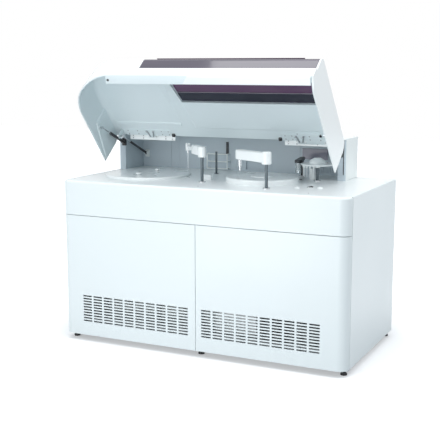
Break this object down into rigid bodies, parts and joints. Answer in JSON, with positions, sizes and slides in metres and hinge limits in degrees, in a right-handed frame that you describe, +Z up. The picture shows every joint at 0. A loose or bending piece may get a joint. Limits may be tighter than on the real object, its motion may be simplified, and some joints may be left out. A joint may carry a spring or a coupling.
{
  "type": "biochemistry analyzer",
  "caption": "Floor-standing automatic biochemistry analyzer: cabinet with vented doors, covered carousels, needle arms, mixer and wash head under a tilting hood with a smoked window.",
  "frame": {"origin": "on the floor, in the middle of the cabinet's footprint", "axes": "+X to the right along the front, +Y from the doors to the back, +Z up"},
  "size_m": [1.64, 0.831, 1.5395],
  "materials": {
    "enamel": "satin powder coat",
    "frame_steel": "satin zinc",
    "foot_rubber": "matte",
    "well_steel": "satin",
    "tub_plastic": "satin",
    "motor_dark": "satin",
    "tube_clear": "clear",
    "bottle_plastic": "satin",
    "cover_white": "satin gloss",
    "shaft_steel": "ground",
    "carriage_aluminium": "milled",
    "mixer_black": "satin",
    "housing_grey": "satin",
    "hood_white": "gloss",
    "smoked_window": "smoked, gloss",
    "hood_inside": "satin",
    "strut_black": "satin",
    "canister_plastic": "satin",
    "case_steel": "satin",
    "cooler_dark": "satin",
    "connector_black": "satin"
  },
  "bodies": {
    "root": {"chassis_frame": "frame_steel", "base_pan": "frame_steel", "levelling_feet": "foot_rubber", "side_panel_left": "enamel", "side_panel_right": "enamel", "rear_panel": "enamel", "front_fascia": "enamel", "door_pivots": "frame_steel", "deck_plate": "enamel", "side_shelf": "enamel", "wash_wells": "well_steel", "carousel_tubs": "tub_plastic", "carousel_motors": "motor_dark", "reaction_cover": "cover_white", "arm_guides": "shaft_steel", "wash_station_column": "cover_white", "deck_fittings": "cover_white", "rear_housing": "housing_grey", "rear_top_cover": "housing_grey", "hinge_brackets": "frame_steel", "strut_mounts": "frame_steel", "fluid_containers": "canister_plastic", "electronics_rack": "case_steel", "power_supply": "case_steel", "refrigeration_unit": "cooler_dark", "rear_connectors": "connector_black"},
    "hood": {"hood_shell": "hood_white", "hood_window": "smoked_window", "hood_liner": "hood_inside", "hood_hinge_leaves": "frame_steel", "hood_strut_seats": "hood_inside", "hood_bumpers": "foot_rubber"},
    "gas_spring_left": {"gas_spring_case_left": "strut_black"},
    "gas_spring_rod_left": {"gas_spring_rod_left": "shaft_steel"},
    "gas_spring_right": {"gas_spring_case_right": "strut_black"},
    "gas_spring_rod_right": {"gas_spring_rod_right": "shaft_steel"},
    "damper_left": {"damper_case_left": "strut_black"},
    "damper_rod_left": {"damper_rod_left": "shaft_steel"},
    "door_left": {"door_left": "enamel"},
    "door_right": {"door_right": "enamel"},
    "sample_lift": {"sample_arm_carriage": "carriage_aluminium"},
    "sample_arm": {"sample_arm_post": "shaft_steel", "sample_arm_cover": "cover_white", "sample_probe": "shaft_steel"},
    "reagent_lift": {"reagent_arm_carriage": "carriage_aluminium"},
    "reagent_arm": {"reagent_arm_post": "shaft_steel", "reagent_arm_cover": "cover_white", "reagent_probe": "shaft_steel"},
    "mixer_lift": {"mixer_carriage": "carriage_aluminium"},
    "mixer_swing": {"mixer_arm": "mixer_black", "mixer_guard": "tube_clear"},
    "mixer_paddle": {"mixer_paddle": "shaft_steel"},
    "sample_carousel": {"sample_carousel": "tub_plastic", "sample_tubes": "tube_clear", "reagent_bottles": "bottle_plastic"},
    "sample_lid": {"sample_lid": "cover_white"},
    "reaction_carousel": {"reaction_carousel": "tub_plastic", "cuvettes": "tube_clear"},
    "wash_head": {"wash_head": "cover_white", "wash_lift_post": "shaft_steel"}
  },
  "joints": [
    {"name": "hood_hinge", "type": "hinge", "parent": "root", "child": "hood", "pos_m": [0, 0.168, 1.098], "axis": [1, 0, 0], "range_deg": [0, 50.4]},
    {"name": "gas_spring_left_tilt", "type": "hinge", "parent": "root", "child": "gas_spring_left", "pos_m": [-0.784, 0.172, 1.058], "axis": [1, 0, 0], "range_deg": [0, 49.83]},
    {"name": "gas_spring_left_stroke", "type": "slide", "parent": "gas_spring_left", "child": "gas_spring_rod_left", "axis": [0, -0.9168, 0.3993], "range_m": [-0.03433, 0]},
    {"name": "gas_spring_right_tilt", "type": "hinge", "parent": "root", "child": "gas_spring_right", "pos_m": [0.562, 0.172, 1.058], "axis": [1, 0, 0], "range_deg": [0, 49.83]},
    {"name": "gas_spring_right_stroke", "type": "slide", "parent": "gas_spring_right", "child": "gas_spring_rod_right", "axis": [0, -0.9168, 0.3993], "range_m": [-0.03433, 0]},
    {"name": "damper_left_tilt", "type": "hinge", "parent": "root", "child": "damper_left", "pos_m": [-0.745, 0.384, 0.975], "axis": [1, 0, 0], "range_deg": [0, 7.76]},
    {"name": "damper_left_stroke", "type": "slide", "parent": "damper_left", "child": "damper_rod_left", "axis": [0, -0.918, 0.3966], "range_m": [-0.04015, 0]},
    {"name": "door_left_hinge", "type": "hinge", "parent": "root", "child": "door_left", "pos_m": [-0.815, -0.3715, 0.034], "axis": [0, 0, -1], "range_deg": [0, 110]},
    {"name": "door_right_hinge", "type": "hinge", "parent": "root", "child": "door_right", "pos_m": [0.815, -0.3715, 0.034], "axis": [0, 0, 1], "range_deg": [0, 110]},
    {"name": "sample_arm_lift", "type": "slide", "parent": "root", "child": "sample_lift", "axis": [0, 0, 1], "range_m": [-0.06, 0]},
    {"name": "sample_arm_swing", "type": "hinge", "parent": "sample_lift", "child": "sample_arm", "pos_m": [-0.076, -0.181, 0.9], "axis": [0, 0, 1], "range_deg": [-74.35, 23.21]},
    {"name": "reagent_arm_lift", "type": "slide", "parent": "root", "child": "reagent_lift", "axis": [0, 0, 1], "range_m": [-0.09, 0]},
    {"name": "reagent_arm_swing", "type": "hinge", "parent": "reagent_lift", "child": "reagent_arm", "pos_m": [0.337, -0.281, 0.9], "axis": [0, 0, 1], "range_deg": [-110, 0]},
    {"name": "mixer_lift", "type": "slide", "parent": "root", "child": "mixer_lift", "axis": [0, 0, 1], "range_m": [-0.045, 0]},
    {"name": "mixer_swing", "type": "hinge", "parent": "mixer_lift", "child": "mixer_swing", "pos_m": [0.309, 0.307, 0.9], "axis": [0, 0, 1], "range_deg": [-31.98, 0]},
    {"name": "mixer_spin", "type": "hinge", "parent": "mixer_swing", "child": "mixer_paddle", "pos_m": [0.34662, 0.14407, 0.95], "axis": [0, 0, 1], "continuous": true},
    {"name": "sample_carousel_spin", "type": "hinge", "parent": "root", "child": "sample_carousel", "pos_m": [-0.5, -0.02, 0.8], "axis": [0, 0, 1], "continuous": true},
    {"name": "sample_lid_lift", "type": "slide", "parent": "root", "child": "sample_lid", "axis": [0, 0, -1], "range_m": [-0.12, 0]},
    {"name": "reaction_carousel_spin", "type": "hinge", "parent": "root", "child": "reaction_carousel", "pos_m": [0.2, -0.01, 0.8], "axis": [0, 0, 1], "continuous": true},
    {"name": "wash_head_lift", "type": "slide", "parent": "root", "child": "wash_head", "axis": [0, 0, 1], "range_m": [0, 0.05]}
  ],
  "couplings": [
    {"joint": "gas_spring_left_tilt", "follows": "hood_hinge", "ratio": 0.98668},
    {"joint": "gas_spring_left_stroke", "follows": "hood_hinge", "m_per_rad": -0.038803},
    {"joint": "gas_spring_right_tilt", "follows": "hood_hinge", "ratio": 0.98668},
    {"joint": "gas_spring_right_stroke", "follows": "hood_hinge", "m_per_rad": -0.038803},
    {"joint": "damper_left_tilt", "follows": "hood_hinge", "ratio": 0.15193},
    {"joint": "damper_left_stroke", "follows": "hood_hinge", "m_per_rad": -0.045411}
  ]
}
